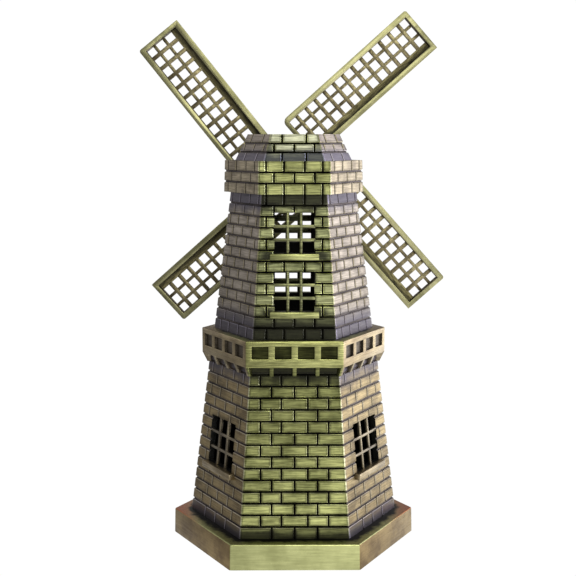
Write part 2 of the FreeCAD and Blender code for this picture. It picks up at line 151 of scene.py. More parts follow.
# Foot: a heavy hexagonal plinth, die-cast with a hollow underside, plated and brushed bright on its sides.
# Dark patina is left on its top round the tower, and copper shows through where the top is rubbed.

BLACK_PATINA = (0.0105, 0.0105, 0.0095, 1)
# The black patina as it shows on the side walls, with a painted lilac sheen.
LILAC_SHEEN_PATINA = (0.060, 0.055, 0.074, 1)
# Olive and taupe are one brass with painted light: olive as the front walls are lit, taupe as the sides are.
OLIVE_BRASS = (0.215, 0.225, 0.092, 1)
OLIVE_SHADE = (0.105, 0.112, 0.045, 1)
TAUPE_BRASS = (0.300, 0.258, 0.180, 1)
TAUPE_SHADE = (0.160, 0.134, 0.098, 1)
LEDGE_BRASS = ((0.36, 0.37, 0.17, 1), (0.24, 0.25, 0.11, 1))
COPPER = (0.35, 0.110, 0.045, 1)


def new_node(tree, kind, **sockets):
    """Adds a shader node. A socket given another node's output is linked, and given a value is set."""
    node = tree.nodes.new("ShaderNode" + kind)
    for name, value in sockets.items():
        socket = node.inputs[int(name[1:]) if name[0] == "_" else name.replace("_", " ")]
        if isinstance(value, bpy.types.NodeSocket):
            tree.links.new(value, socket)
        else:
            socket.default_value = value
    return node


def blend_colours(tree, how, factor, first, second):
    """Mixes two colours and returns the result's socket. factor, first and second are sockets or values."""
    node = tree.nodes.new("ShaderNodeMix")
    node.data_type = "RGBA"
    node.blend_type = how
    for socket, value in ((node.inputs[0], factor), (node.inputs[6], first), (node.inputs[7], second)):
        if isinstance(value, bpy.types.NodeSocket):
            tree.links.new(value, socket)
        else:
            socket.default_value = value
    return node.outputs[2]


def ramp(tree, value, start, end, low=0.0, high=1.0):
    """Turns start..end into low..high, smoothly, and keeps it there."""
    node = new_node(tree, "MapRange", Value=value)
    node.interpolation_type = "SMOOTHSTEP"
    for name, number in (("From Min", start), ("From Max", end), ("To Min", low), ("To Max", high)):
        node.inputs[name].default_value = number
    return node.outputs["Result"]


def maths(tree, how, first, second=0.0):
    """Puts one or two numbers through a Math node and returns the result's socket."""
    node = new_node(tree, "Math", _0=first, _1=second)
    node.operation = how
    return node.outputs[0]


def vector_maths(tree, how, first, second=(0, 0, 0)):
    """As maths, for vectors. A dot product or a distance is a number."""
    node = new_node(tree, "VectorMath", _0=first, _1=second)
    node.operation = how
    return node.outputs["Value" if how in ("DOT_PRODUCT", "DISTANCE") else "Vector"]


def noise(tree, point, **looks):
    """Adds a cloudy pattern over the given points and returns its factor's socket."""
    return new_node(tree, "TexNoise", Vector=point, **looks).outputs["Fac"]


def new_finish(name, metallic):
    """Adds a material. Returns it with its node tree, its shader and its texture coordinates."""
    material = bpy.data.materials.new(name)
    material.use_nodes = True
    tree = material.node_tree
    shader = tree.nodes["Principled BSDF"]
    shader.inputs["Metallic"].default_value = metallic
    return material, tree, shader, new_node(tree, "TexCoord")


def antique_brass(name, front=(OLIVE_BRASS, OLIVE_SHADE), side=(TAUPE_BRASS, TAUPE_SHADE), stains=(),
                  stain_colours=(BLACK_PATINA, LILAC_SHEEN_PATINA), smudges=(), fade=(), grain=(160, 160, 4200),
                  rough=0.36, relief=0.35, wear=(0.5, 1.38), place="", bricks=False):
    """Brushed antique brass with painted light: front colours on walls square to Y, side ones on the rest.

    stains lists (height of full patina, height where it has faded out), in stain_colours, front and side;
    the side colour is the patina with a painted sheen. smudges lists (x, z, radius) of dark
    spots, painted shadows beside sills. fade is (height, height, brightness, brightness),
    painted light on the front colours only. grain scales the brush marks, wear says how dark and how bright
    they are, and relief how deep. place names the attribute that the pattern follows, if the piece has one.
    bricks is for a piece whose attribute "rubbed" is 0 at the edges of its bricks.
    """
    material, tree, shader, where = new_finish(name, 1.0)
    point = where.outputs["Object"]
    if place:
        own = new_node(tree, "Attribute")
        own.attribute_name = place
        point = own.outputs["Vector"]
    stretched = new_node(tree, "Mapping", Vector=point, Scale=grain, Rotation=(0.02, 0.03, 0))
    streaks = noise(tree, stretched.outputs[0], Scale=1.0, Detail=5.0, Roughness=0.65)
    clouds = noise(tree, point, Scale=130.0, Detail=4.0, Roughness=0.6)
    tone = ramp(tree, clouds, 0.35, 0.68)
    if place:
        facing = new_node(tree, "SeparateXYZ", Vector=where.outputs["Normal"]).outputs["Y"]
        facing = ramp(tree, maths(tree, "ABSOLUTE", facing), 0.72, 0.95)
    else:
        mirrored = vector_maths(tree, "ABSOLUTE", point)
        inside_sector = vector_maths(tree, "DOT_PRODUCT", mirrored, (-1, tan(radians(30)), 0))
        facing = ramp(tree, inside_sector, -0.2 * MM, 0.2 * MM)
    # Painted light: the front and side colours are one brass, as lit on the walls square to Y and on the
    # rest.
    front_painted_light_colour = blend_colours(tree, "MIX", tone, *front)
    side_painted_light_colour = blend_colours(tree, "MIX", tone, *side)
    colour = blend_colours(tree, "MIX", facing, side_painted_light_colour, front_painted_light_colour)
    worn = ramp(tree, streaks, 0.36, 0.66, *wear)
    if bricks:
        rubbed = new_node(tree, "Attribute")
        rubbed.attribute_name = "rubbed"
        worn = maths(tree, "MULTIPLY", worn, ramp(tree, rubbed.outputs["Fac"], 0.0, 1.0, 0.5, 1.14))
    # Painted light: the brush streaks are shown weaker on the side walls than on the front.
    even = maths(tree, "POWER", worn, 0.45)
    colour = blend_colours(tree, "MULTIPLY", 1.0, colour, blend_colours(tree, "MIX", facing, even, worn))
    height = new_node(tree, "SeparateXYZ", Vector=point).outputs["Z"]
    # Painted light: the front colours made brighter or darker with height.
    if fade:
        colour = blend_colours(tree, "MULTIPLY", facing, colour, ramp(tree, height, *fade))
    marks = []
    if stains:
        ragged = maths(tree, "ADD", height, ramp(tree, clouds, 0.2, 0.8, -1.2 * MM, 1.2 * MM))
        for full, gone in stains:
            ends = (1.0, 0.0) if full < gone else (0.0, 1.0)
            marks.append(ramp(tree, ragged, min(full, gone), max(full, gone), *ends))
    # Painted shadows: dark spots beside the ends of the sills, mirrored to both sides of the wall.
    if smudges:
        flat = vector_maths(tree, "MULTIPLY", vector_maths(tree, "ABSOLUTE", point), (1, 0, 1))
        for x, z, radius in smudges:
            gap = vector_maths(tree, "DISTANCE", flat, (x, 0, z))
            marks.append(ramp(tree, gap, 0.25 * radius, radius, 0.95, 0.0))
    if marks:
        most = marks[0]
        for mark in marks[1:]:
            most = maths(tree, "MAXIMUM", most, mark)
        # Real patina at the stains and painted shadow at the spots; the side colour adds a painted sheen.
        stain_and_shadow = blend_colours(tree, "MIX", facing, stain_colours[1], stain_colours[0])
        colour = blend_colours(tree, "MIX", maths(tree, "MULTIPLY", most, 0.94), colour, stain_and_shadow)
    tree.links.new(colour, shader.inputs["Base Color"])
    tree.links.new(ramp(tree, streaks, 0.3, 0.7, rough + 0.12, rough - 0.06), shader.inputs["Roughness"])
    bump = new_node(tree, "Bump", Height=streaks, Strength=relief, Distance=0.03 * MM)
    tree.links.new(bump.outputs["Normal"], shader.inputs["Normal"])
    return material


def patina(name, colour, pale=3.0):
    """The dark finish left inside and underneath: matt and a little mottled."""
    material, tree, shader, where = new_finish(name, 0.6)
    mottle = noise(tree, where.outputs["Object"], Scale=420.0, Detail=3.0)
    paler = tuple(pale * c for c in colour[:3]) + (1,)
    shade = blend_colours(tree, "MIX", ramp(tree, mottle, 0.4, 0.8), colour, paler)
    tree.links.new(shade, shader.inputs["Base Color"])
    shader.inputs["Roughness"].default_value = 0.55
    return material


def rubbed_top(name, dark_to, bright_from, rim, shade=BLACK_PATINA, tip=COPPER):
    """A ledge round the tower: patina out to dark_to, bare from bright_from, with copper at its far corners.

    Both are measured to the middle of a side, and rim is where along X the copper is complete.
    """
    material, tree, shader, where = new_finish(name, 1.0)
    point = where.outputs["Object"]
    clouds = noise(tree, point, Scale=260.0, Detail=4.0, Roughness=0.6)
    fine = noise(tree, point, Scale=1500.0, Detail=2.0)
    reach = None
    for azimuth in (30, 90, 150):
        outwards = (cos(radians(azimuth)), sin(radians(azimuth)), 0)
        wall = maths(tree, "ABSOLUTE", vector_maths(tree, "DOT_PRODUCT", point, outwards))
        reach = wall if reach is None else maths(tree, "MAXIMUM", reach, wall)
    ragged = maths(tree, "ADD", reach, ramp(tree, clouds, 0.25, 0.75, -0.9 * MM, 0.9 * MM))
    along = maths(tree, "ABSOLUTE", new_node(tree, "SeparateXYZ", Vector=point).outputs["X"])
    ragged = maths(tree, "ADD", ragged, ramp(tree, along, rim - 6 * MM, rim, 0.0, 2.2 * MM))
    bare = blend_colours(tree, "MIX", clouds, *LEDGE_BRASS)
    bare = blend_colours(tree, "MIX", ramp(tree, along, rim - 10 * MM, rim), bare, tip)
    bare = blend_colours(tree, "MULTIPLY", 1.0, bare, ramp(tree, fine, 0.35, 0.65, 0.8, 1.1))
    colour = blend_colours(tree, "MIX", ramp(tree, ragged, dark_to, bright_from), shade, bare)
    tree.links.new(colour, shader.inputs["Base Color"])
    tree.links.new(ramp(tree, ragged, dark_to, bright_from, 0.5, 0.34), shader.inputs["Roughness"])
    return material


def select_only(*pieces):
    """Selects these pieces and no others, and makes the first of them active."""
    bpy.ops.object.select_all(action="DESELECT")
    for piece in pieces:
        piece.select_set(True)
    if pieces:
        bpy.context.view_layer.objects.active = pieces[0]


def choose(piece, kind, test):
    """In edit mode, selects those of the piece's verts, edges or faces that pass the test, and no others."""
    mesh = bmesh.from_edit_mesh(piece.data)
    for group in (mesh.verts, mesh.edges, mesh.faces):
        for part in group:
            part.select = False
    for part in getattr(mesh, kind):
        if test(part):
            part.select_set(True)
    bmesh.update_edit_mesh(piece.data)


def hexagonal(name, foot, foot_radius, top, top_radius):
    """Adds a six-sided taper with its corners on +X and -X. Its radii are those of its corners."""
    select_only()
    bpy.ops.mesh.primitive_cone_add(vertices=6, radius1=foot_radius, radius2=top_radius, depth=top - foot,
                                    location=(0, 0, (foot + top) / 2), rotation=(0, 0, radians(30)))
    piece = bpy.context.object
    piece.name = name
    bpy.ops.object.transform_apply()
    return piece


def paint(piece, *materials):
    """Adds the finishes to the piece, in the order of their numbers. Its faces have the first one."""
    for material in materials:
        piece.data.materials.append(material)


def paint_chosen(piece, number):
    """In edit mode, gives the selected faces the piece's material of that number."""
    piece.active_material_index = number
    bpy.ops.object.material_slot_assign()


def place_casting(piece, body="tower"):
    """Smooths the small bevels, keeps the flats flat, and hands the piece to the body that carries it."""
    select_only(piece)
    bpy.ops.object.shade_smooth_by_angle(angle=radians(32))
    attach(piece, body)


plinth_low, plinth_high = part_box("base_plinth")
felt_low, felt_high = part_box("base_felt_pad")
tower_low, tower_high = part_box("lower_tower")
FOOT_TOP = tower_low[2]
FOOT_RADIUS = plinth_high[0]
FOOT_WALL = 3.2 * MM
FOOT_TOP_WALL = 2.0 * MM
FOOT_DRAFT = 0.2 * MM
FOOT_EDGE = 0.4 * MM
FOOT_DARK_TO = 29.0 * MM
FOOT_BARE_FROM = 31.3 * MM
FOOT_COPPER_FROM = 36.0 * MM
FELT_REBATE = 1.4 * MM
HEX = sqrt(3) / 2
inside_patina = patina("inside_patina", (0.004, 0.004, 0.004, 1), pale=2.0)

foot = hexagonal("foot", plinth_low[2], FOOT_RADIUS, FOOT_TOP, FOOT_RADIUS - FOOT_DRAFT)
# Painted light: the sides square to Y bright yellow brass and the others dark brown, as each is lit.
foot_sides = antique_brass(
    "brushed_foot", grain=(90, 90, 1700), rough=0.32, wear=(0.86, 1.12),
    front=((0.47, 0.49, 0.24, 1), (0.35, 0.365, 0.17, 1)),
    side=((0.24, 0.175, 0.082, 1), (0.125, 0.084, 0.040, 1)))
foot_top = rubbed_top("foot_top", FOOT_DARK_TO, FOOT_BARE_FROM, FOOT_COPPER_FROM)
paint(foot, foot_sides, foot_top, inside_patina)
bpy.ops.object.mode_set(mode="EDIT")
bpy.ops.mesh.select_mode(type="FACE")
choose(foot, "faces", lambda f: f.normal.z > 0.9)
paint_chosen(foot, 1)
choose(foot, "faces", lambda f: f.normal.z < -0.9)
bpy.ops.mesh.inset(thickness=FELT_REBATE)
paint_chosen(foot, 2)
bpy.ops.mesh.extrude_region_move(TRANSFORM_OT_translate={"value": (0, 0, felt_high[2] - plinth_low[2])})
bpy.ops.mesh.inset(thickness=FOOT_WALL - FELT_REBATE)
bpy.ops.mesh.extrude_region_move(
    TRANSFORM_OT_translate={"value": (0, 0, FOOT_TOP - FOOT_TOP_WALL - felt_high[2])})
bpy.ops.mesh.select_mode(type="EDGE")
outside = FOOT_RADIUS * HEX - 0.5 * MM
choose(foot, "edges", lambda e: min(v.co.xy.length for v in e.verts) > outside
       and max(v.co.z for v in e.verts) > FOOT_TOP - 1e-6)
bpy.ops.mesh.bevel(offset=FOOT_EDGE, segments=3, affect="EDGES")
bpy.ops.object.mode_set(mode="OBJECT")
place_casting(foot)
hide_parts("base_plinth")


# Felt: a dark green-black disc with cut edges, glued into a rebate under the foot.

FELT_EDGE = 0.25 * MM
FELT_BLACK = (0.008, 0.012, 0.009, 1)
FELT_GREY = (0.05, 0.06, 0.05, 1)
felt = hexagonal("foot_felt", felt_low[2], felt_high[0], felt_high[2], felt_high[0])
bpy.ops.object.mode_set(mode="EDIT")
bpy.ops.mesh.select_mode(type="EDGE")
bpy.ops.mesh.select_all(action="SELECT")
bpy.ops.mesh.bevel(offset=FELT_EDGE, segments=2, affect="EDGES")
bpy.ops.object.mode_set(mode="OBJECT")
wool, tree, shader, where = new_finish("dark_felt", 0.0)
fibres = noise(tree, where.outputs["Object"], Scale=2600.0, Detail=4.0, Distortion=1.5)
tree.links.new(blend_colours(tree, "MIX", fibres, FELT_BLACK, FELT_GREY), shader.inputs["Base Color"])
shader.inputs["Roughness"].default_value = 0.95
nap = new_node(tree, "Bump", Height=fibres, Strength=0.6, Distance=0.1 * MM)
tree.links.new(nap.outputs["Normal"], shader.inputs["Normal"])
paint(felt, wool)
place_casting(felt)
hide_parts("base_felt_pad")


# Lower storey: a hollow hexagonal taper, die-cast with its bricks, windows and sills. The mortar joints are
# cast as grooves and hold the black patina, and the bricks between them are brushed bright.

JOINT_WIDTH = 0.54 * MM
JOINT_DEPTH = 0.4 * MM
ARRIS = 0.18 * MM
JOINT_DRAFT = 0.03 * MM
CORNER = 0.3 * MM
RUB_EDGE = 0.55 * MM
TOWER_WALL = 1.8 * MM
FLANGE = 2.0 * MM
OVERCUT = 1.0 * MM
WALLS = range(30, 390, 60)
# Pale brass for the bricks' edges: worn bare, and paler still as a painted highlight.
PALE_BRASS = (0.72, 0.74, 0.46, 1)
PALE_TAUPE = (0.34, 0.30, 0.24, 1)
# Black patina in the joints; their paler brown on the side walls is painted light.
joint_patina = antique_brass(
    "joint_patina", rough=0.5, relief=0.1,
    front=((0.006, 0.006, 0.004, 1), (0.002, 0.002, 0.002, 1)),
    side=((0.090, 0.076, 0.074, 1), (0.040, 0.034, 0.036, 1)))
flat_brass = antique_brass(
    "flat_brass", grain=(900, 900, 900), relief=0.1, wear=(0.7, 1.2),
    front=(TAUPE_SHADE, BLACK_PATINA), side=(TAUPE_SHADE, BLACK_PATINA))


def across_wall(azimuth):
    """The level direction along a wall that faces that azimuth."""
    return Vector((-sin(radians(azimuth)), cos(radians(azimuth)), 0))


def on_wall(azimuth, wall, height):
    """The matrix that takes x across a wall, -y out of it and z up to that wall. wall(z) is its distance."""
    turn = Matrix.Rotation(radians(azimuth) - 3 * pi / 2, 4, "Z")
    out = Vector((cos(radians(azimuth)), sin(radians(azimuth)), 0))
    return Matrix.Translation(out * wall(height) + Vector((0, 0, height))) @ turn


def block(x_range, y_range, z_range):
    """Adds a rectangular block between the given limits, its place in its mesh."""
    select_only()
    limits = (x_range, y_range, z_range)
    bpy.ops.mesh.primitive_cube_add(size=1, location=[(low + high) / 2 for low, high in limits],
                                    scale=[high - low for low, high in limits])
    bpy.ops.object.transform_apply()
    return bpy.context.object


def cut_away(piece, *tools):
    """Takes each tool's shape out of the piece and deletes it. The cut faces keep the tool's finish."""
    for tool in tools:
        cut = piece.modifiers.new("cut", "BOOLEAN")
        cut.operation = "DIFFERENCE"
        cut.solver = "EXACT"
        cut.material_mode = "TRANSFER"
        cut.object = tool
        bpy.context.view_layer.objects.active = piece
        bpy.ops.object.modifier_apply(modifier=cut.name)
        bpy.data.objects.remove(tool)


def join(name, parts):
    """Makes one piece of several whose places are in their meshes."""
    select_only(*parts)
    if len(parts) > 1:
        bpy.ops.object.join()
    parts[0].name = name
    return parts[0]


def move(piece, matrix):
    """Moves the piece by a matrix and puts its new place in its mesh."""
    select_only(piece)
    piece.matrix_world = matrix
    bpy.ops.object.transform_apply()
    return piece


def soften(piece, width, segments=2):
    """Rounds every sharp edge of the piece a little, as a casting's edges are."""
    bevel = piece.modifiers.new("soft_edges", "BEVEL")
    bevel.width = width
    bevel.segments = segments
    bevel.limit_method = "ANGLE"
    bevel.angle_limit = radians(40)
    bpy.context.view_layer.objects.active = piece
    bpy.ops.object.modifier_apply(modifier=bevel.name)


def brick_looks(storey, stains=(), stain_colours=(BLACK_PATINA, LILAC_SHEEN_PATINA), **looks):
    """The finishes of a storey's brick faces and worn edges, the edges with painted highlights, stained at
    the same heights.
    """
    faces = antique_brass(storey + "_brick_faces", bricks=True, stains=stains, stain_colours=stain_colours,
                          **looks)
    # Painted highlights: the edges stay pale where the faces are stained.
    paler = [tuple(times * c for c in colour[:3]) + (1,) for times, colour in zip((6, 3), stain_colours)]
    edges = antique_brass(storey + "_brick_edges", front=(PALE_BRASS, OLIVE_BRASS),
                          side=(PALE_TAUPE, TAUPE_BRASS), rough=0.3, stains=stains, stain_colours=paler)
    return faces, edges


def brick_storey(name, foot, foot_radius, top, top_radius, course, joints, finishes):
    """A solid storey with mortar joints. joints holds, for even and odd courses, distances from mid-wall.

    It is made a little too tall, so that its ends are cut through clean joints, and then trimmed.
    """
    flare = (foot_radius - top_radius) / (top - foot) * OVERCUT
    storey = hexagonal(name, foot - OVERCUT, foot_radius + flare, top + OVERCUT, top_radius - flare)
    paint(storey, *finishes, joint_patina, flat_brass)
    bpy.ops.object.mode_set(mode="EDIT")
    bpy.ops.mesh.select_mode(type="EDGE")
    choose(storey, "edges", lambda e: abs(e.verts[0].co.z - e.verts[1].co.z) > OVERCUT)
    bpy.ops.mesh.bevel(offset=CORNER, segments=2, affect="EDGES", material=1)
    for k in range(1, round((top - foot) / course)):
        bpy.ops.mesh.select_all(action="SELECT")
        bpy.ops.mesh.bisect(plane_co=(0, 0, foot + k * course), plane_no=(0, 0, 1))
    bpy.ops.mesh.select_mode(type="FACE")
    for azimuth in WALLS[:3]:
        across = across_wall(azimuth)
        for kind in (0, 1):
            for t in sorted({side * joint for joint in joints[kind] for side in (1, -1)}):
                def in_courses(face):
                    number = (face.calc_center_median().z - foot) // course
                    facing = abs(face.normal.z) < 0.5 and abs(face.normal.dot(across)) < 0.1
                    return facing and number % 2 == kind
                choose(storey, "faces", in_courses)
                bpy.ops.mesh.bisect(plane_co=across * t, plane_no=across)
    bpy.ops.mesh.select_mode(type="EDGE")

    def is_joint(edge):
        low, high = sorted(v.co.z for v in edge.verts)
        if high - low < 1e-6:
            return foot - OVERCUT / 2 < low < top + OVERCUT / 2
        return edge.calc_face_angle(1) < 0.01
    choose(storey, "edges", is_joint)
    bpy.ops.mesh.bevel(offset=JOINT_WIDTH / 2 + ARRIS, segments=1, affect="EDGES", clamp_overlap=False,
                       material=2)
    bpy.ops.mesh.select_mode(type="FACE")
    choose(storey, "faces", lambda f: f.material_index == 2)
    paint_chosen(storey, 1)
    bpy.ops.mesh.inset(thickness=ARRIS, depth=-ARRIS)
    paint_chosen(storey, 2)
    bpy.ops.mesh.inset(thickness=JOINT_DRAFT, depth=ARRIS - JOINT_DEPTH)
    choose(storey, "faces", lambda f: f.material_index == 0 and abs(f.normal.z) < 0.5
           and 2 * f.calc_area() / f.calc_perimeter() > 1.6 * RUB_EDGE)
    bpy.ops.mesh.inset(thickness=RUB_EDGE, use_individual=True)
    mesh = bmesh.from_edit_mesh(storey.data)
    rubbed = mesh.verts.layers.float.new("rubbed")
    for face in mesh.faces:
        if face.select:
            for vertex in face.verts:
                vertex[rubbed] = 1.0
    bmesh.update_edit_mesh(storey.data)
    bpy.ops.mesh.select_all(action="SELECT")
    bpy.ops.mesh.bisect(plane_co=(0, 0, foot), plane_no=(0, 0, 1), use_fill=True, clear_inner=True)
    bpy.ops.mesh.select_all(action="SELECT")
    bpy.ops.mesh.bisect(plane_co=(0, 0, top), plane_no=(0, 0, 1), use_fill=True, clear_outer=True)
    choose(storey, "faces", lambda f: abs(f.normal.z) > 0.99
           and min(abs(f.calc_center_median().z - end) for end in (foot, top)) < 1e-5)
    paint_chosen(storey, 3)
    bpy.ops.object.mode_set(mode="OBJECT")
    return storey


def hollow_out(storey, foot, foot_radius, top, top_radius, floor, ceiling, opening):
    """Hollows a storey between two heights, and cuts a six-sided opening of that radius through its top."""
    slope = (top_radius - foot_radius) / (top - foot)
    thin = TOWER_WALL / HEX
    tools = [hexagonal("hollow", floor, foot_radius + slope * (floor - foot) - thin,
                       ceiling, foot_radius + slope * (ceiling - foot) - thin)]
    if opening:
        tools.append(hexagonal("hole", floor, opening, top + OVERCUT, opening))
    for tool in tools:
        paint(tool, inside_patina)
    cut_away(storey, *tools)


def stand_on_wall(name, parts, azimuth, wall, lean, middle, *finishes):
    """Joins parts drawn with x across a wall, -y out of it and z up it, and stands them on that wall."""
    piece = join(name, parts)
    move(piece, on_wall(azimuth, wall, middle) @ Matrix.Rotation(-lean, 4, "X"))
    paint(piece, *finishes)
    place_casting(piece)


def window(storey, name, azimuth, wall, lean, width, low, high, bar, level_bar):
    """Cuts a window through a wall and adds its cast grille and sill. low and high are its heights."""
    middle = (low + high) / 2
    tall = high - low
    opening = move(block((-width / 2, width / 2), (-WINDOW_CUT, WINDOW_CUT), (-tall / 2, tall / 2)),
                   on_wall(azimuth, wall, middle))
    paint(opening, inside_patina)
    cut_away(storey, opening)

    half_wide = width / 2 + BAR_BITE
    half_tall = tall / 2 + BAR_BITE
    bars = []
    for k in (-1, 1):
        x, z = k * width / 6, k * tall / 6
        upright = block((x - bar / 2, x + bar / 2), UPRIGHT_Y, (-half_tall, half_tall))
        soften(upright, UPRIGHT_ROUNDING, 3)
        level = block((-half_wide, half_wide), LEVEL_Y, (z - level_bar / 2, z + level_bar / 2))
        soften(level, LEVEL_ROUNDING)
        bars += [upright, level]
    stand_on_wall(name, bars, azimuth, wall, lean, middle, grille_brass)

    half = width / 2 + SILL_OVERHANG
    sill = block((-half, half), (-SILL_REACH, SILL_ROOT), (-SILL_HEIGHT / 2, SILL_HEIGHT / 2))
    soften(sill, SILL_ROUNDING)
    stand_on_wall(name.replace("window", "sill"), [sill], azimuth, wall, 0, low - SILL_HEIGHT / 2,
                  window_brass)


def screw_bosses(name, node, radius, height):
    """Tapered bosses for a set of screws, cast inside the storey above it, each with its blind hole."""
    distance, azimuths, flange = SCREWS[node]
    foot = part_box(node)[0][2] + SCREW_HEAD_HEIGHT + flange
    posts = []
    for azimuth in azimuths:
        x, y = distance * cos(radians(azimuth)), distance * sin(radians(azimuth))
        select_only()
        bpy.ops.mesh.primitive_cone_add(vertices=28, radius1=radius, radius2=radius - BOSS_DRAFT,
                                        depth=height, location=(x, y, foot + height / 2))
        post = bpy.context.object
        bpy.ops.object.transform_apply()
        bpy.ops.mesh.primitive_cylinder_add(vertices=24, radius=SCREW_BORE, depth=2 * (height - BOSS_END),
                                            location=(x, y, foot))
        hole = bpy.context.object
        bpy.ops.object.transform_apply()
        paint(post, inside_patina)
        paint(hole, inside_patina)
        cut_away(post, hole)
        soften(post, BOSS_ROUNDING)
        posts.append(post)
    bosses = join(name, posts)
    place_casting(bosses)


SCREW_HEAD_HEIGHT = 1.5 * MM
SCREW_BORE = 1.33 * MM
BOSS_DRAFT = 0.25 * MM
BOSS_END = 0.8 * MM
BOSS_ROUNDING = 0.2 * MM
SCREW_AZIMUTHS = (30, 150, 270)
# A set's distance from the middle of the mill, its azimuths, and the thickness of the metal under its heads.
SCREWS = {"base_screws": (23.1 * MM, SCREW_AZIMUTHS, 2.0 * MM),
          "tower_screws": (17.2 * MM, SCREW_AZIMUTHS, 4.0 * MM),
          "cap_screws": (12.4 * MM, SCREW_AZIMUTHS, 2.0 * MM),
          "roof_screws": (10.6 * MM, (210, 330), 1.5 * MM)}
WINDOW_CUT = 5 * MM
BAR_BITE = 0.3 * MM
UPRIGHT_Y = (0.15 * MM, 1.15 * MM)
UPRIGHT_ROUNDING = 0.32 * MM
LEVEL_Y = (0.2 * MM, 1.2 * MM)
LEVEL_ROUNDING = 0.2 * MM
SILL_HEIGHT = 1.85 * MM
SILL_OVERHANG = 1.35 * MM
SILL_REACH = 1.5 * MM
SILL_ROOT = 0.6 * MM
SILL_ROUNDING = 0.22 * MM
SIDE_WINDOW_WIDTH = 15.1 * MM
SIDE_WINDOW_Z = (25.2 * MM, 39.5 * MM)
SIDE_WINDOW_BAR = 0.85 * MM
LOWER_TOP_RADIUS = 24.95 * MM
LOWER_COURSE = 3.38 * MM
LOWER_JOINTS = ((0.0, 6.65 * MM), (3.83 * MM, 9.85 * MM))
DECK_HOLE = 16 * MM
window_brass = antique_brass(
    "window_brass", rough=0.34, front=LEDGE_BRASS,
    side=((0.36, 0.30, 0.20, 1), (0.22, 0.18, 0.12, 1)))
grille_brass = antique_brass(
    "grille_brass", front=((0.20, 0.205, 0.105, 1), (0.10, 0.105, 0.06, 1)),
    side=((0.25, 0.215, 0.155, 1), (0.13, 0.11, 0.085, 1)))

lower_top = tower_high[2]
lower_radius = tower_high[0]
lower_slope = (LOWER_TOP_RADIUS - lower_radius) / (lower_top - FOOT_TOP)
lower_lean = atan2(-lower_slope * HEX, 1)
# Painted light: the front walls brighter towards the foot and darker towards the top, with front and side
# copies.
lower_brass = brick_looks(
    "lower",
    stains=((8.6 * MM, 13.0 * MM), (55.4 * MM, 50.0 * MM)),
    fade=(6 * MM, 50 * MM, 1.75, 0.75),
    front=((0.248, 0.260, 0.110, 1), (0.136, 0.145, 0.060, 1)),
    side=((0.285, 0.222, 0.118, 1), (0.140, 0.106, 0.058, 1)))


def lower_wall(z):
    """The distance of the lower storey's walls from the middle of the mill, at height z."""
    return HEX * (lower_radius + lower_slope * (z - FOOT_TOP))


lower_shape = (FOOT_TOP, lower_radius, lower_top, LOWER_TOP_RADIUS)
lower = brick_storey("lower_storey", *lower_shape, LOWER_COURSE, LOWER_JOINTS, lower_brass)
hollow_out(lower, *lower_shape, FOOT_TOP - OVERCUT, lower_top - FLANGE, DECK_HOLE)
for number, azimuth in enumerate((210, 330), 1):
    window(lower, "lower_window_%d" % number, azimuth, lower_wall, lower_lean, SIDE_WINDOW_WIDTH,
           *SIDE_WINDOW_Z, SIDE_WINDOW_BAR, SIDE_WINDOW_BAR)
place_casting(lower)
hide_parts("lower_tower")
screw_bosses("foot_screw_bosses", "base_screws", 2.6 * MM, 8.0 * MM)


# Door: a plank door with a frame, a hood, a doorstep and a knob, all cast on the wall below the sails.

DOOR_WIDTH = 8.6 * MM
DOOR_TOP = 25.0 * MM
DOOR_FRAME = 1.5 * MM
DOOR_REACH = 0.7 * MM
DOOR_ROOT = 0.6 * MM
DOOR_PLANKS = 5
PLANK_GAP = 0.3 * MM
PLANK_Y = (-0.12 * MM, 1.0 * MM)
HOOD_OVERHANG = 0.8 * MM
HOOD_REACH = 1.5 * MM
HOOD_HEIGHT = 1.3 * MM
STEP_HALF = 6.5 * MM
STEP_REACH = 2.2 * MM
STEP_HEIGHT = 1.9 * MM
KNOB_RADIUS = 0.6 * MM
KNOB_INSET = 1.1 * MM
KNOB_REACH = 0.35 * MM
KNOB_Z = 17.6 * MM

door_middle = (FOOT_TOP + DOOR_TOP) / 2
door_half = DOOR_WIDTH / 2
door_tall = (DOOR_TOP - FOOT_TOP) / 2
door_foot = -door_tall + 0.05 * MM
leaf_brass = antique_brass("door_planks", grain=(2600, 2600, 160), wear=(0.5, 1.1))
parts = []
for k in range(DOOR_PLANKS):
    left = -door_half + DOOR_WIDTH * k / DOOR_PLANKS + PLANK_GAP / 2
    plank = block((left, left + DOOR_WIDTH / DOOR_PLANKS - PLANK_GAP), PLANK_Y, (door_foot, door_tall))
    soften(plank, 0.1 * MM)
    parts.append(plank)
stand_on_wall("door_leaf", parts, 90, lower_wall, lower_lean, door_middle, leaf_brass)
parts = [block((side * door_half, side * (door_half + DOOR_FRAME))[::side], (-DOOR_REACH, DOOR_ROOT),
               (door_foot, door_tall + DOOR_FRAME)) for side in (1, -1)]
parts.append(block((-door_half, door_half), (-DOOR_REACH, DOOR_ROOT), (door_tall, door_tall + DOOR_FRAME)))
for part in parts:
    soften(part, 0.18 * MM)
stand_on_wall("door_frame", parts, 90, lower_wall, lower_lean, door_middle, window_brass)
hood_half = door_half + DOOR_FRAME + HOOD_OVERHANG
hood = block((-hood_half, hood_half), (-HOOD_REACH, DOOR_ROOT), (0, HOOD_HEIGHT))
soften(hood, 0.25 * MM, 3)
stand_on_wall("door_hood", [hood], 90, lower_wall, lower_lean, DOOR_TOP + DOOR_FRAME, window_brass)
step = block((-STEP_HALF, STEP_HALF), (-STEP_REACH, DOOR_ROOT), (0, STEP_HEIGHT))
soften(step, 0.3 * MM, 3)
stand_on_wall("doorstep", [step], 90, lower_wall, 0, FOOT_TOP, window_brass)
select_only()
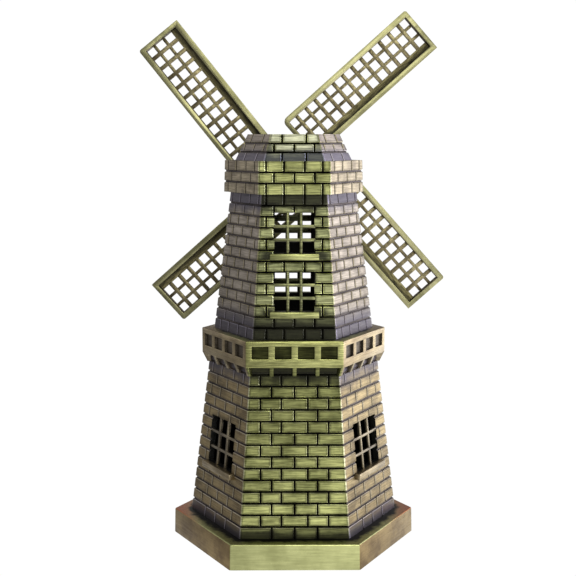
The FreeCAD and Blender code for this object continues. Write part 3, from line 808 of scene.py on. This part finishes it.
bpy.ops.mesh.primitive_uv_sphere_add(segments=20, ring_count=12, radius=KNOB_RADIUS, scale=(1, 0.8, 1),
                                     location=(door_half - KNOB_INSET, -KNOB_REACH, KNOB_Z - door_middle))
knob = bpy.context.object
bpy.ops.object.transform_apply()
# The knob takes the bricks' pale edge finish: worn brass with a painted highlight.
stand_on_wall("door_knob", [knob], 90, lower_wall, lower_lean, door_middle, lower_brass[1])


# Gallery: a ring cast in one piece and pushed on round the top of the lower storey. Its faces are panelled
# like a railing, its deck carries the upper storey, and small brackets stand under its edge.

gallery_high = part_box("gallery")[1]
GALLERY_RADIUS = gallery_high[0]
GALLERY_FOOT = 57.6 * MM
GALLERY_GAP = 0.1 * MM
PANEL_Z = (60.0 * MM, 63.95 * MM)
PANEL_PITCH = 6.6 * MM
PANEL_WIDTH = 5.05 * MM
PANEL_DEPTH = 0.8 * MM
PANEL_LIP = 0.12 * MM
PANEL_DRAFT = 0.1 * MM
GALLERY_EDGE = 0.25 * MM
DECK_DARK_TO = 21.2 * MM
DECK_BARE_FROM = 23.0 * MM
DECK_COPPER_FROM = 26.5 * MM
BRACKET_WIDTH = 1.15 * MM
BRACKET_Z = (GALLERY_FOOT - 2.7 * MM, GALLERY_FOOT + 0.3 * MM)
BRACKET_SETBACK = 0.12 * MM
BRACKET_ROOT = 1.0 * MM
BRACKET_FOOT_REACH = 0.35 * MM
rail_brass = antique_brass(
    "gallery_brass", front=((0.36, 0.37, 0.158, 1), (0.24, 0.245, 0.10, 1)),
    side=((0.33, 0.27, 0.165, 1), (0.22, 0.17, 0.105, 1)), rough=0.3)
# Dark patina in the recessed panels, with the shade in the recesses painted in as well.
panel_brass = antique_brass(
    "gallery_panels", front=((0.042, 0.045, 0.016, 1), (0.012, 0.013, 0.006, 1)),
    side=((0.13, 0.11, 0.088, 1), (0.065, 0.055, 0.045, 1)), rough=0.42)
deck_brass = rubbed_top(
    "gallery_deck", DECK_DARK_TO, DECK_BARE_FROM, DECK_COPPER_FROM,
    shade=(0.03, 0.028, 0.035, 1), tip=(0.20, 0.125, 0.07, 1))
bracket_brass = antique_brass("bracket_brass", rough=0.34)

gallery = hexagonal("gallery_ring", GALLERY_FOOT, GALLERY_RADIUS, gallery_high[2], GALLERY_RADIUS)
paint(gallery, rail_brass, panel_brass, deck_brass, inside_patina)
bpy.ops.object.mode_set(mode="EDIT")
bpy.ops.mesh.select_mode(type="FACE")
choose(gallery, "faces", lambda f: f.normal.z > 0.9)
paint_chosen(gallery, 2)
choose(gallery, "faces", lambda f: f.normal.z < -0.9)
paint_chosen(gallery, 3)
bpy.ops.mesh.select_mode(type="EDGE")
bpy.ops.mesh.select_all(action="SELECT")
bpy.ops.mesh.bevel(offset=GALLERY_EDGE, segments=2, affect="EDGES")
for z in PANEL_Z:
    bpy.ops.mesh.select_all(action="SELECT")
    bpy.ops.mesh.bisect(plane_co=(0, 0, z), plane_no=(0, 0, 1))
bpy.ops.mesh.select_mode(type="FACE")
panel_centres = [PANEL_PITCH * k for k in (-1.5, -0.5, 0.5, 1.5)]
for azimuth in WALLS[:3]:
    across = across_wall(azimuth)
    for t in [centre + side * PANEL_WIDTH / 2 for centre in panel_centres for side in (-1, 1)]:
        choose(gallery, "faces", lambda f: abs(f.normal.dot(across)) < 0.1 and abs(f.normal.z) < 0.1
               and PANEL_Z[0] < f.calc_center_median().z < PANEL_Z[1])
        bpy.ops.mesh.bisect(plane_co=across * t, plane_no=across)


def is_panel(face):
    """Whether a face of the ring lies within one of its panels."""
    centre = face.calc_center_median()
    if abs(face.normal.z) > 0.1 or not PANEL_Z[0] < centre.z < PANEL_Z[1]:
        return False
    for azimuth in WALLS[:3]:
        across = across_wall(azimuth)
        if abs(face.normal.dot(across)) < 0.1:
            return any(abs(centre.dot(across) - t) < 0.5 * MM for t in panel_centres)
    return False


choose(gallery, "faces", is_panel)
bpy.ops.mesh.inset(thickness=PANEL_LIP, depth=-PANEL_LIP / 2)
# The panels' walls and floors take the dark finish: patina and painted shade.
paint_chosen(gallery, 1)
bpy.ops.mesh.inset(thickness=PANEL_DRAFT, depth=PANEL_LIP / 2 - PANEL_DEPTH)
bpy.ops.object.mode_set(mode="OBJECT")

gap = GALLERY_GAP / HEX
low_end = GALLERY_FOOT - OVERCUT
socket = hexagonal("socket", low_end, lower_radius + lower_slope * (low_end - FOOT_TOP) + gap,
                   lower_top, LOWER_TOP_RADIUS + gap)
hole = hexagonal("deck_hole", lower_top - OVERCUT, DECK_HOLE, gallery_high[2] + OVERCUT, DECK_HOLE)
paint(socket, inside_patina)
paint(hole, inside_patina)
cut_away(gallery, socket, hole)
place_casting(gallery)
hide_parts("gallery")

brackets = []
on_the_faces = (WALLS, HEX, (-PANEL_PITCH, 0.0, PANEL_PITCH))
at_the_corners = (range(0, 360, 60), 1.0, (0.0,))
for azimuths, ratio, places in (on_the_faces, at_the_corners):
    wall = ratio * (lower_radius + lower_slope * (BRACKET_Z[0] - FOOT_TOP)) + GALLERY_GAP
    edge = ratio * GALLERY_RADIUS - BRACKET_SETBACK
    for azimuth in azimuths:
        for t in places:
            bracket = block((wall - BRACKET_ROOT, edge), (-BRACKET_WIDTH / 2, BRACKET_WIDTH / 2), BRACKET_Z)
            bpy.ops.object.mode_set(mode="EDIT")
            bpy.ops.mesh.select_mode(type="VERT")
            choose(bracket, "verts", lambda v: v.co.x > wall and v.co.z < GALLERY_FOOT)
            bpy.ops.transform.translate(value=(wall + BRACKET_FOOT_REACH - edge, 0, 0))
            bpy.ops.object.mode_set(mode="OBJECT")
            soften(bracket, 0.12 * MM)
            move(bracket, Matrix.Rotation(radians(azimuth), 4, "Z") @ Matrix.Translation((0, t, 0)))
            brackets.append(bracket)
brackets = join("gallery_brackets", brackets)
paint(brackets, bracket_brass)
place_casting(brackets)


# Upper storey: cast as the lower one, but narrower, with two windows one above the other on each of two
# opposite walls. It is screwed through the gallery's deck to the lower storey.

UPPER_TOP_RADIUS = 19.05 * MM
UPPER_COURSES = 13
UPPER_JOINTS = ((2.96 * MM, 8.1 * MM), (0.0, 5.84 * MM))
UPPER_WINDOW_WIDTH = 11.5 * MM
UPPER_WINDOWS_Z = ((90.0 * MM, 101.6 * MM), (73.4 * MM, 84.7 * MM))
UPPER_BAR = 0.95 * MM
REAR_LEVEL_BAR = 1.9 * MM
# The size of the painted shadows beside the ends of the upper windows' sills.
SILL_SHADOW_RADIUS = 3.6 * MM
CAP_HOLE = 9.5 * MM
upper_low, upper_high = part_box("upper_tower")
upper_foot, upper_top = upper_low[2], upper_high[2]
upper_radius = upper_high[0]
upper_slope = (UPPER_TOP_RADIUS - upper_radius) / (upper_top - upper_foot)
upper_lean = atan2(-upper_slope * HEX, 1)
# The spots beside the sills' ends are painted shadows; the stains are patina.
upper_brass = brick_looks(
    "upper",
    front=((0.208, 0.218, 0.122, 1), (0.105, 0.112, 0.060, 1)),
    side=((0.285, 0.252, 0.212, 1), (0.165, 0.144, 0.122, 1)),
    stains=((69.0 * MM, 75.0 * MM), (104.4 * MM, 100.2 * MM)),
    smudges=((7.6 * MM, 72.4 * MM, SILL_SHADOW_RADIUS), (7.6 * MM, 88.9 * MM, SILL_SHADOW_RADIUS)))


def upper_wall(z):
    """As lower_wall, for the upper storey."""
    return HEX * (upper_radius + upper_slope * (z - upper_foot))


upper_shape = (upper_foot, upper_radius, upper_top, UPPER_TOP_RADIUS)
upper_course = (upper_top - upper_foot) / UPPER_COURSES
upper = brick_storey("upper_storey", *upper_shape, upper_course, UPPER_JOINTS, upper_brass)
hollow_out(upper, *upper_shape, upper_foot - OVERCUT, upper_top - FLANGE, CAP_HOLE)
number = 0
for azimuth, level_bar in ((270, UPPER_BAR), (90, REAR_LEVEL_BAR)):
    for low, high in UPPER_WINDOWS_Z:
        number += 1
        window(upper, "upper_window_%d" % number, azimuth, upper_wall, upper_lean, UPPER_WINDOW_WIDTH, low,
               high, UPPER_BAR, level_bar)
place_casting(upper)
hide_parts("upper_tower")
screw_bosses("gallery_screw_bosses", "tower_screws", 2.6 * MM, 6.8 * MM)


# Cap band: the wide brick band of the cap, cast hollow with the windshaft's bearing through its rear wall,
# and screwed to the upper storey. Its top has a slot over the shaft's clip.

SHAFT_Z = 113.3 * MM
BEARING = (11.0 * MM, 22.7 * MM)
BEARING_RADIUS = 2.95 * MM
SHAFT_BORE = 1.3 * MM
BORE_GAP = 0.4 * MM
BAND_PLATE = 1.5 * MM
BAND_RADIUS = 21.05 * MM
BAND_TOP_RADIUS = 20.75 * MM
BAND_COURSES = 3
CLIP_SLOT_HALF = 3.2 * MM
CLIP_SLOT_DEPTH = 2.0 * MM
band_low, band_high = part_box("cap_band")
band_brass = brick_looks("band", front=((0.27, 0.28, 0.13, 1), (0.15, 0.157, 0.068, 1)))
band_shape = (band_low[2], BAND_RADIUS, band_high[2], BAND_TOP_RADIUS)
band_course = (band_high[2] - band_low[2]) / BAND_COURSES
band = brick_storey("cap_band_casting", *band_shape, band_course, UPPER_JOINTS, band_brass)
hollow_out(band, *band_shape, band_low[2] + BAND_PLATE, band_high[2] - BAND_PLATE, CAP_HOLE)
floor_hole = hexagonal("floor_hole", band_low[2] - OVERCUT, CAP_HOLE, band_low[2] + 2.0 * MM, CAP_HOLE)
clip_slot = block((-CLIP_SLOT_HALF, CLIP_SLOT_HALF), (0, BEARING[0]),
                  (band_high[2] - CLIP_SLOT_DEPTH, band_high[2] + OVERCUT))
paint(floor_hole, inside_patina)
paint(clip_slot, inside_patina)
cut_away(band, floor_hole, clip_slot)


def along_shaft(radius, start, end, vertices=48):
    """Adds a rod round the windshaft's line, from one distance along +Y to another."""
    select_only()
    bpy.ops.mesh.primitive_cylinder_add(vertices=vertices, radius=radius, depth=end - start,
                                        location=(0, (start + end) / 2, SHAFT_Z), rotation=(pi / 2, 0, 0))
    bpy.ops.object.transform_apply()
    return bpy.context.object


cut_away(band, along_shaft(SHAFT_BORE + BORE_GAP, BEARING[0] + 2 * MM, BEARING[1] + OVERCUT))
place_casting(band)
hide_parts("cap_band")
bearing = along_shaft(BEARING_RADIUS, *BEARING)
paint(bearing, window_brass)
bore = along_shaft(SHAFT_BORE, BEARING[0] - OVERCUT, BEARING[1] + OVERCUT)
paint(bore, inside_patina)
cut_away(bearing, bore)
soften(bearing, 0.25 * MM, 3)
bearing.name = "shaft_bearing"
place_casting(bearing)
screw_bosses("cap_screw_bosses", "cap_screws", 2.3 * MM, 5.6 * MM)


# Roof: a low six-sided pyramid with a flat top, cast hollow in three courses of brick and screwed to the
# band. It is rubbed paler than the walls, with patina left along its foot.

ROOF_RADIUS = 17.6 * MM
ROOF_TOP_RADIUS = 13.85 * MM
ROOF_WALL = 1.6 * MM
ROOF_COURSES = 3
ROOF_JOINTS = ((3.5 * MM,), (0.0, 5.84 * MM))
roof_low, roof_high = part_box("roof")
# The roof's foot patina is bluish; its paler lilac colour on the side walls is a painted sheen.
roof_brass = brick_looks(
    "roof", stains=((117.6 * MM, 120.6 * MM),),
    front=((0.48, 0.49, 0.38, 1), (0.31, 0.32, 0.24, 1)),
    side=((0.30, 0.262, 0.215, 1), (0.16, 0.138, 0.125, 1)),
    stain_colours=((0.045, 0.048, 0.062, 1), (0.10, 0.092, 0.12, 1)))
roof_shape = (roof_low[2], ROOF_RADIUS, roof_high[2], ROOF_TOP_RADIUS)
roof_course = (roof_high[2] - roof_low[2]) / ROOF_COURSES
roof = brick_storey("roof_casting", *roof_shape, roof_course, ROOF_JOINTS, roof_brass)
hollow_out(roof, *roof_shape, roof_low[2] - OVERCUT, roof_high[2] - ROOF_WALL, None)
place_casting(roof)
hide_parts("roof")
screw_bosses("roof_screw_bosses", "roof_screws", 2.2 * MM, 6.2 * MM)


# Sails: four cast trays, each with a raised rim, a lattice floor and a solid board along one side. A tongue
# on each fits a slot in the hub. One is modelled lying along +X and copied, and the second sits a bit askew.

SAIL_ANGLE = radians(41.7)
SAIL_SKEW = (0.0, radians(-3.0), 0.0, 0.0)
SAIL_Y = (25.3 * MM, 28.5 * MM)
SAIL_U = (7.4 * MM, 59.9 * MM)
SAIL_V = (-13.4 * MM, 2.2 * MM)
INNER_CORNER = 1.9 * MM
OUTER_CORNER = 0.8 * MM
SAIL_RIM = 1.6 * MM
SAIL_END_RIM = 1.3 * MM
SAIL_BOARD = 2.2 * MM
SAIL_RECESS = 2.0 * MM
SAIL_LATTICE = 0.9 * MM
PANES = (13, 3)
BARS = (1.3 * MM, 1.05 * MM)
BAR_ROOT = 0.4 * MM
LEVEL_BAR_SETBACK = 0.04 * MM
FLOOR_LIP = 0.3 * MM
TRAY_LIP = (0.16 * MM, 0.12 * MM)
TRAY_DRAFT = 0.06 * MM
TONGUE_FROM = 3.2 * MM
TONGUE_WIDTH = 3.2 * MM
TONGUE_DEPTH = 1.7 * MM
HUB_FRONT = 28.0 * MM
# Painted shade: the dark side colours of the board and lattice inside the tray.
SAIL_SIDE_BRASS = ((0.12, 0.09, 0.065, 1), (0.05, 0.04, 0.03, 1))
sail_rim_brass = antique_brass(
    "sail_rim", place="sail_place", grain=(30, 600, 600), rough=0.34,
    front=((0.27, 0.26, 0.15, 1), (0.16, 0.155, 0.085, 1)), wear=(0.86, 1.12),
    relief=0.05)
# The board is darker as painted shade in the tray, and its stain beside the rim is the rim's painted shadow.
sail_floor_brass = antique_brass(
    "sail_board", place="sail_place", grain=(300, 1800, 1800), rough=0.42,
    front=((0.19, 0.17, 0.09, 1), (0.085, 0.075, 0.04, 1)),
    side=SAIL_SIDE_BRASS, wear=(0.55, 1.3), relief=0.12,
    stains=((SHAFT_Z - 0.9 * MM, SHAFT_Z + 1.9 * MM),))
sail_lattice_brass = antique_brass(
    "sail_lattice", place="sail_place", grain=(900, 900, 900), rough=0.42,
    front=((0.20, 0.175, 0.105, 1), (0.10, 0.082, 0.05, 1)),
    side=SAIL_SIDE_BRASS, wear=(0.7, 1.2), relief=0.08)


def upright(v):
    """The height of a point v across a sail that lies along +X."""
    return SHAFT_Z - v


sail = block(SAIL_U, SAIL_Y, (upright(SAIL_V[1]), upright(SAIL_V[0])))
paint(sail, sail_rim_brass, sail_floor_brass)
bpy.ops.object.mode_set(mode="EDIT")
bpy.ops.mesh.select_mode(type="FACE")
wide = SAIL_V[1] - SAIL_V[0]
centre = ((SAIL_U[0] + SAIL_U[1]) / 2, sum(SAIL_Y) / 2, upright((SAIL_V[0] + SAIL_V[1]) / 2))
narrower = (wide - 2 * SAIL_RIM) / (wide - 2 * SAIL_END_RIM)
for side, depth in ((-1, SAIL_RECESS), (1, SAIL_Y[1] - SAIL_Y[0] - SAIL_RECESS - SAIL_LATTICE)):
    choose(sail, "faces", lambda f: f.normal.y * side > 0.9)
    bpy.ops.mesh.inset(thickness=SAIL_END_RIM)
    bpy.ops.transform.resize(value=(1, 1, narrower), center_override=centre)
    bpy.ops.mesh.inset(thickness=TRAY_LIP[0], depth=-TRAY_LIP[1])
    paint_chosen(sail, 1)
    bpy.ops.mesh.inset(thickness=TRAY_DRAFT, depth=TRAY_LIP[1] - depth)
bpy.ops.mesh.select_mode(type="EDGE")
for end, radius, steps in ((SAIL_U[0], INNER_CORNER, 6), (SAIL_U[1], OUTER_CORNER, 4)):
    choose(sail, "edges", lambda e: all(abs(v.co.x - end) < 1e-6 and v.co.z > centre[2] for v in e.verts))
    bpy.ops.mesh.bevel(offset=radius, segments=steps, affect="EDGES")
bpy.ops.object.mode_set(mode="OBJECT")

inner_u = (SAIL_U[0] + SAIL_END_RIM, SAIL_U[1] - SAIL_END_RIM)
inner_v = (SAIL_V[0] + SAIL_RIM, SAIL_V[1] - SAIL_RIM - SAIL_BOARD)
opening = block((inner_u[0] + FLOOR_LIP, inner_u[1] - FLOOR_LIP), (SAIL_Y[0] + 1.2 * MM, SAIL_Y[1] + 1 * MM),
                (upright(inner_v[1]), upright(inner_v[0] + FLOOR_LIP)))
paint(opening, sail_floor_brass)
cut_away(sail, opening)
soften(sail, 0.14 * MM)
pitch_u = (inner_u[1] - inner_u[0] + BARS[0]) / PANES[0]
pitch_v = (inner_v[1] - inner_v[0] + BARS[1]) / PANES[1]
floor_y = (SAIL_Y[0] + SAIL_RECESS, SAIL_Y[0] + SAIL_RECESS + SAIL_LATTICE)
parts = [sail]
for i in range(1, PANES[0]):
    u = inner_u[0] + i * pitch_u - BARS[0]
    parts.append(block((u, u + BARS[0]), floor_y,
                       (upright(inner_v[1] + 0.5 * MM), upright(inner_v[0] - BAR_ROOT))))
for j in range(1, PANES[1]):
    v = inner_v[0] + j * pitch_v - BARS[1]
    parts.append(block((inner_u[0] - BAR_ROOT, inner_u[1] + BAR_ROOT),
                       (floor_y[0] + LEVEL_BAR_SETBACK, floor_y[1] - LEVEL_BAR_SETBACK),
                       (upright(v + BARS[1]), upright(v))))
for part in parts[1:]:
    soften(part, 0.16 * MM)
    paint(part, sail_lattice_brass)
tongue = block((TONGUE_FROM, SAIL_U[0] + 0.5 * MM), (HUB_FRONT - TONGUE_DEPTH, HUB_FRONT),
               (upright(TONGUE_WIDTH / 2), upright(-TONGUE_WIDTH / 2)))
soften(tongue, 0.1 * MM)
paint(tongue, sail_rim_brass)
sail = join("sail_pattern", parts)


def another(piece):
    """A copy of the piece with its own mesh."""
    copy = piece.copy()
    copy.data = piece.data.copy()
    scene.collection.objects.link(copy)
    return copy


def keep_places(piece):
    """Stores where each point of a sail lies while it is along +X, so that its finish turns with it."""
    places = [number for vertex in piece.data.vertices for number in vertex.co]
    piece.data.attributes.new("sail_place", "FLOAT_VECTOR", "POINT").data.foreach_set("vector", places)


keep_places(sail)
keep_places(tongue)
shaft = Vector((0, 0, SHAFT_Z))
middle = Vector(centre)
for k, skew in enumerate(SAIL_SKEW):
    tray = another(sail)
    move(tray, Matrix.Translation(middle) @ Matrix.Rotation(-skew, 4, "Y") @ Matrix.Translation(-middle))
    one_sail = join("sail_%d_casting" % (k + 1), [tray, another(tongue)])
    turn = Matrix.Rotation(-SAIL_ANGLE - k * pi / 2, 4, "Y")
    move(one_sail, Matrix.Translation(shaft) @ turn @ Matrix.Translation(-shaft))
    place_casting(one_sail, "sails")
    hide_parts("sail_%d" % (k + 1))
bpy.data.objects.remove(sail)
bpy.data.objects.remove(tongue)


# Hub, shaft and screws: the turned brass hub with its clamping plate and dome nut, and the plated steel
# windshaft, clip, washers and screws, all as the model has them, finished here.

hub_brass = antique_brass(
    "hub_brass", grain=(900, 900, 900), rough=0.3, wear=(0.75, 1.15), relief=0.06,
    front=((0.42, 0.40, 0.22, 1), (0.25, 0.24, 0.12, 1)))
steel, tree, shader, where = new_finish("zinc_plated_steel", 1.0)
spangle = noise(tree, where.outputs["Object"], Scale=1800.0, Detail=3.0)
zinc = blend_colours(tree, "MIX", spangle, (0.42, 0.43, 0.44, 1), (0.62, 0.63, 0.65, 1))
tree.links.new(zinc, shader.inputs["Base Color"])
tree.links.new(ramp(tree, spangle, 0.3, 0.7, 0.24, 0.4), shader.inputs["Roughness"])
finishes = {steel: ("base_screws", "tower_screws", "cap_screws", "roof_screws", "windshaft", "shaft_clip",
                    "inner_washer", "outer_washer"),
            hub_brass: ("sail_hub", "hub_plate", "dome_nut")}
for material, nodes in finishes.items():
    for name in nodes:
        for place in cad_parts[name].material_slots:
            place.link = "OBJECT"
            place.material = material

low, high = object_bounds()
